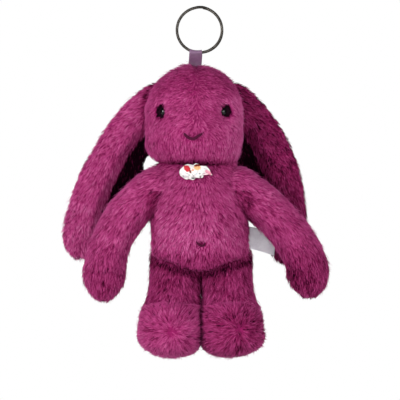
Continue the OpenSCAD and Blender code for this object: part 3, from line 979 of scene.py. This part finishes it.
profile = np.vstack([ply(loop[0], -0.22)[::-1], loop, ply(loop[-1], 0.22)])
ribbon_wide = RIBBON_W - 0.5 * np.exp(-((profile[:, 1] + 10.4) / 1.6) ** 2)
grid = np.empty((len(profile), 17, 3))
grid[..., 0] = ribbon_wide[:, None] * np.linspace(-0.5, 0.5, 17)
grid[..., 1:] = profile[:, None, :]
ribbon = thickened("ribbon_loop", grid, 0.28)
co, _ = read_mesh(ribbon.data)
side_x = co[:, 0] / MM / 3.3
top_near = np.exp(-((co[:, 2] / MM + 10.3) / 1.3) ** 2)
co[:, 2] += (0.5 * side_x ** 2 - 0.45 - 0.28 * side_x) * top_near * MM
co[:, 0] += ribbon_x * MM - 0.07 * np.maximum(0, -0.0135 - co[:, 2])
move_points(ribbon.data, co)
# the ribbon is painted paler above the wire: a painted highlight on the fold
ribbon.data.materials.append(
    satin("ribbon_satin_weave", srgb(64, 32, 60), srgb(104, 64, 98), 900, fold=(-11.9, srgb(118, 86, 116))))
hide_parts("hanging_ribbon")
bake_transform(ribbon)


# Bead eyes, seated in their sockets
def bead_gloss():
    s = Shader("bead_gloss_black")
    colour = s.ramp(s.noise(700, 2), (0.3, (0.001, 0.0005, 0.001, 1)), (0.8, (0.003, 0.001, 0.002, 1)))
    s.fill(s.surface, {"Base Color": colour, "Roughness": 0.04, "Specular IOR Level": 0.36})
    return s.material


BEAD_R, BEAD_FRONT, BEAD_BACK = 2.35, 1.45, 0.9
BEAD_SHIFT = {"left": 0.3, "right": -0.2}
HEAD_OVAL = (24.6, 20.0)    # the head's half width and half depth at the eyes, for the way the beads face
head_tree = front_tree(head_skin)
BEAD_GLOSS = bead_gloss()
for side, eye in EYES.items():
    middle = bezier(head_path, [(HEAD_TOP - eye[2]) / (HEAD_TOP - HEAD_END)])[0]
    off = (eye[0] - middle[0]) / HEAD_OVAL[0]
    outward = unit(np.array([off / HEAD_OVAL[0], -math.sqrt(max(0, 1 - off ** 2)) / HEAD_OVAL[1], 0.0]))
    seat = on_front(head_tree, eye[0], eye[2])[0] - outward * 0.1 + np.array([BEAD_SHIFT[side], 0, 0])
    sideways = unit(np.cross(outward, (0, 0, 1)))
    upward = np.cross(sideways, outward)
    a = math.pi * np.arange(1, 18)[:, None, None] / 18
    b = 2 * math.pi * np.arange(32)[None, :, None] / 32
    high = np.where(a < math.pi / 2, BEAD_FRONT, BEAD_BACK) * np.cos(a)
    spread = sideways * np.cos(b) * 0.86 + upward * np.sin(b) * 1.06
    rings = seat + outward * high + spread * BEAD_R * np.sin(a)
    bead = mesh_object("eye_bead_" + side, *tube(rings, seat + outward * BEAD_FRONT, seat - outward * BEAD_BACK))
    fit(bead, BEAD_GLOSS, "eye_bead", "head", "eye_" + side)


# Stitches
def thread_material():
    s = Shader("stitch_thread")
    fibres = s.noise(4000)
    colour = s.ramp(fibres, (0.3, srgb(54, 2, 32)), (0.75, srgb(84, 10, 52)))
    s.fill(s.surface, {"Base Color": colour, "Roughness": 0.9, "Specular IOR Level": 0.2})
    s.bump(fibres, 0.4, 0.0002)
    return s.material


THREAD = thread_material()


def stitch(name, body, tree, corners, radius, proud, node, sink=1.6):
    """A stitched line that follows the cover's front and dives into it at both ends."""
    line = []
    flat = spline([(x, 0, z) for x, z in corners], 60)
    for i, (x, _, z) in enumerate(flat):
        hit, _ = on_front(tree, x, z)
        edge = smooth(min(i, len(flat) - 1 - i) / 7)
        line.append((x, hit[1] - proud + (1 - edge) * sink, z))
    line = np.array(line)
    line[:, 1] = np.convolve(np.pad(line[:, 1], 4, mode="edge"), np.ones(9) / 9, "valid")
    fit(rope(name, line, radius), THREAD, "thread", body, node)


mx, mz = mouth_mid[0], mouth_low[2] + 0.2
stitch("mouth_thread", "head", head_tree, [(mx - 4.7, mz + 3.1), (mx - 3.2, mz + 1.4), (mx - 1.4, mz + 0.3),
       (mx + 0.4, mz + 0.1), (mx + 2.6, mz + 1.4), (mx + 5.2, mz + 3.3)], 0.72, 1.1, "mouth_stitch")
body_tree = front_tree(body_skin)
stitch("belly_thread", "torso", body_tree, [(navel[0] - 3.1, navel[2] + 1.2), (navel[0] - 1.2, navel[2] - 0.7),
       (navel[0] + 0.5, navel[2] - 1.2), (navel[0] + 1.9, navel[2] + 0.4)], 0.5, 0.75, "belly_stitch")


# Bow: printed cotton, two lobes and two short ends gathered under a knot
def patch(s, centre, radii, turn):
    """1 inside a soft-edged printed shape, centre and radii in mm in X and Z, turned by degrees."""
    shape = {"Vector": s.coords(), "Location": (centre[0] * MM, 0, centre[1] * MM),
             "Rotation": (0, math.radians(turn), 0), "Scale": (radii[0] * MM, 1000, radii[1] * MM)}
    spot = s.add("Mapping", shape, vector_type="TEXTURE")
    size = s.add("VectorMath", {0: spot.outputs[0]}, operation="LENGTH").outputs["Value"]
    return s.ramp(s.total(s.noise(900), 0.6, size), (0.96, (1, 1, 1, 1)), (1.06, (0, 0, 0, 1)))


def print_cotton():
    """White cotton with a scatter of red, orange and pink patches, and grey flecks and fine lines that are partly
    print and partly painted shadow in its creases.
    """
    s = Shader("bow_printed_cotton")
    weave = s.noise(2600, 2)
    colour = s.ramp(weave, (0.3, srgb(214, 212, 210)), (0.7, srgb(234, 232, 230)))
    for x, z, wide, tall, turn, tint in (
            (-4.7, 3.2, 3.0, 2.1, 40, (186, 34, 50)), (-3.0, 1.6, 0.8, 1.5, -20, (120, 60, 52)),
            (0.8, 3.6, 2.9, 1.7, 0, (240, 184, 130)), (-1.6, 2.4, 1.1, 1.0, 0, (232, 160, 138)),
            (0.9, 4.9, 2.9, 0.9, -8, (124, 38, 8)), (6.4, 1.2, 2.9, 1.3, 32, (226, 152, 172)),
            (5.2, -0.1, 2.2, 1.3, 30, (242, 206, 216)), (-6.6, -0.8, 0.9, 0.4, 45, (150, 148, 158)),
            (1.9, 0.6, 0.7, 0.5, 0, (132, 136, 132)), (-3.6, -0.4, 0.9, 0.35, 20, (186, 196, 190)),
            # the dark grey patches low on the knot and the fine grey lines below are partly painted shadow in the
            # creases
            (-1.6, -1.9, 1.4, 0.5, 0, (84, 92, 92)), (2.2, -1.2, 0.6, 0.7, 20, (88, 92, 84)),
            (0.4, 0.3, 1.0, 0.5, 10, (204, 222, 226)), (-3.5, -2.9, 0.8, 0.3, 20, (176, 168, 180)),
            (-4.6, 0.6, 2.6, 0.2, 24, (150, 142, 150)), (-5.4, -1.2, 2.2, 0.2, -14, (164, 158, 166)),
            (4.4, 0.6, 2.4, 0.2, -18, (140, 132, 140)), (5.6, -0.6, 2.0, 0.25, 14, (118, 110, 116)),
            (-1.4, -0.6, 1.8, 0.2, 60, (150, 146, 152))):
        colour = s.mix(patch(s, (knot[0] + x, knot[2] + z), (wide, tall), turn), colour, srgb(*tint))
    s.fill(s.surface, {"Base Color": colour, "Roughness": 0.85})
    s.bump(weave, 0.35, 0.0001)
    return s.material


COTTON = print_cotton()
bow_y = on_front(body_tree, knot[0], knot[2])[0][1] - 3.0


def lobe(name, path, tall, thick, pleats, seed, *nodes, tip=1.0):
    """A gathered loop or end of the bow, its path in mm from the knot: flat, with pleats that open outward."""
    def pleat(p, u, a):
        near, far = 1 - rise(u, 0.15, 0.9), rise(u, 0.25, 0.9)
        fold = np.cos(pleats * a + seed) * 0.42 * near + np.cos(3 * a + 4 * u + seed) * 0.3 * far
        p[:, 1] += np.sin(a) * fold + 0.35 * np.sin(5.0 * u + 2 * np.cos(a) + seed) * far
        p[:, 2] += np.cos(a) * fold * 0.8
        crumple = 0.18 * lattice_noise(p, 0.7, seed) + 0.5 * lattice_noise(p, 1.7, seed + 7)
        return p + crumple[:, None] * np.array([0.5, 1, 0.9])

    def wide(u):
        return tall * (0.35 + 0.65 * rise(u, 0, 0.5)) * (1 + (tip - 1) * rise(u, 0.4, 1)) * capsule(u, 0.1, 0.3)

    def deep(u):
        return thick * (0.5 + 0.5 * rise(u, 0, 0.5)) * capsule(u, 0.1, 0.22)

    path = np.array(path) + [knot[0], bow_y, knot[2]]
    ob = mesh_object(name, *loft_arrays(path, wide, deep, rows=44, sides=72, bend=pleat))
    fit(ob, COTTON, "bow_cotton", "torso", *nodes)


lobe("bow_lobe_left", [[0.4, 0, 3.2], [-3, -0.6, 3.0], [-5.6, 0.1, 1.0], [-7.2, 1.4, -0.9]], 3.5, 1.6, 9, 1,
     "bow_loop_left")
lobe("bow_lobe_right", [[-0.4, 0, 3.0], [3, -0.6, 3.0], [5.4, 0.1, 1.3], [8.3, 1.6, -0.2]], 2.7, 1.5, 9, 4,
     "bow_loop_right", tip=0.2)
lobe("bow_knot_wrap", [[0.5, -0.2, 5.6], [0.2, -0.9, 3.4], [-0.6, -0.9, 0.8], [-1.2, -0.2, -1.5]],
     3.2, 1.3, 11, 2, "bow_knot")
lobe("bow_end_left", [[-0.8, -0.3, -0.4], [-3.0, -0.8, -0.8], [-3.6, -0.5, -2.0], [-0.6, 0.1, -2.1]],
     0.95, 0.6, 5, 3)
lobe("bow_end_right", [[0.4, -0.2, 0.4], [1.3, -0.5, -0.2], [2.6, -0.1, -0.6], [3.8, 0.6, -0.8]],
     1.5, 0.6, 5, 5, tip=0.6)

# Care label: one ply of blank satin in the side seam, cut to LABEL_W along and LABEL_L down
LABEL_W, LABEL_L, DROOP = 15.5, 11.5, math.radians(12)
label_low, label_high = box_mm("care_label")
s, t = np.meshgrid(np.linspace(0, 1, 27), np.linspace(0, 1, 21))
reach, fall = LABEL_W * s, LABEL_L * t
grid = np.stack([
    label_high[0] - (LABEL_W - reach) * math.cos(DROOP) - 0.5 * fall * math.sin(DROOP),
    label_low[1] + (label_high[1] - label_low[1]) * s + 0.5 * np.sin(5.2 * s + 2.6 * t) * s,
    label_high[2] - reach * math.sin(DROOP) - fall * math.cos(DROOP) - 1.2 * s * s * t], 2)
label = thickened("care_label_satin", grid, 0.16)
label_satin = satin("label_satin_weave", srgb(196, 194, 206), srgb(240, 240, 246), 1500, 0.15)
fit(label, label_satin, "label_satin", "label", "care_label")

# Tail: a pompom on the back seam
tail_mid = mid_mm("tail_cover")
tail_path = [[tail_mid[0], tail_mid[1], tail_mid[2] + z] for z in (6.8, 2.3, -2.3, -6.8)]
tail_skin = mesh_object("tail_cover_pompom", *loft_arrays(
    tail_path, lambda u: 6.8 * dome(u, 2, 2), lambda u: 6.2 * dome(u, 2, 2), rows=24, sides=28))
fit(tail_skin, BACKING, "plush_back", "torso", "tail_cover", "tail_filling")
coat("tail", "torso", tail_skin, lambda p, n: unit(p - tail_mid) * 0.6 + np.array([0, 0.2, -0.8]), 81, 3.6)

# ---------------------------------------------------------------- camera, lights and floor, in metres
VIEW_W, FAR = 0.2104, 2.0
cam_data = bpy.data.cameras.new("camera")
cam_data.sensor_width, cam_data.lens = 36, 36 * FAR / VIEW_W
cam_data.clip_start, cam_data.clip_end = 0.05, 20
cam = linked("camera", cam_data)
cam.location = (0.00026, -FAR, -0.0894)
cam.rotation_euler = (math.radians(90), 0, 0)
scene.camera = cam

TOY_MIDDLE = Vector((0, 0, -0.09))
for name, place_at, size, power in (("side", (-1.35, -1.3, 0.15), 0.6, 21), ("front", (-0.1, -1.9, 0.05), 0.3, 6),
                                    ("right", (1.1, -1.3, 0.1), 0.6, 9), ("top", (-0.1, -0.3, 1.3), 0.6, 1.5)):
    light = bpy.data.lights.new(name, "AREA")
    light.size, light.energy = size, power
    ob = linked(name, light)
    ob.location = place_at
    ob.rotation_euler = (TOY_MIDDLE - ob.location).to_track_quat("-Z", "Y").to_euler()

# The world is white to the camera, softer as light, and dim in reflections, so that the beads stay black
world = bpy.data.worlds.new("studio")
scene.world = world
world.use_nodes = True
nodes, links = world.node_tree.nodes, world.node_tree.links


def background(strength):
    made = nodes.new("ShaderNodeBackground")
    made.inputs["Color"].default_value = (1, 1, 1, 1)
    made.inputs["Strength"].default_value = strength
    return made


def either(which, no, yes):
    made = nodes.new("ShaderNodeMixShader")
    for i, socket in enumerate((rays.outputs[which], no.outputs[0], yes.outputs[0])):
        links.new(socket, made.inputs[i])
    return made


rays = nodes.new("ShaderNodeLightPath")
lit = either("Is Glossy Ray", background(0.64), background(0.12))
links.new(either("Is Camera Ray", lit, background(1.0)).outputs[0], nodes["World Output"].inputs["Surface"])
scene.view_settings.view_transform = "Standard"

angles = 2 * np.pi * np.arange(96) / 96
floor = mesh_object("floor", np.stack([1300 * np.cos(angles), 1300 * np.sin(angles), np.full(96, -300.0)], 1),
                    [tuple(range(96))])
paper = Shader("floor_paper")
pale = paper.ramp(paper.noise(90, 4), (0.3, (0.86, 0.86, 0.86, 1)), (0.7, (0.9, 0.9, 0.9, 1)))
paper.fill(paper.surface, {"Base Color": pale, "Roughness": 0.9})
floor.data.materials.append(paper.material)
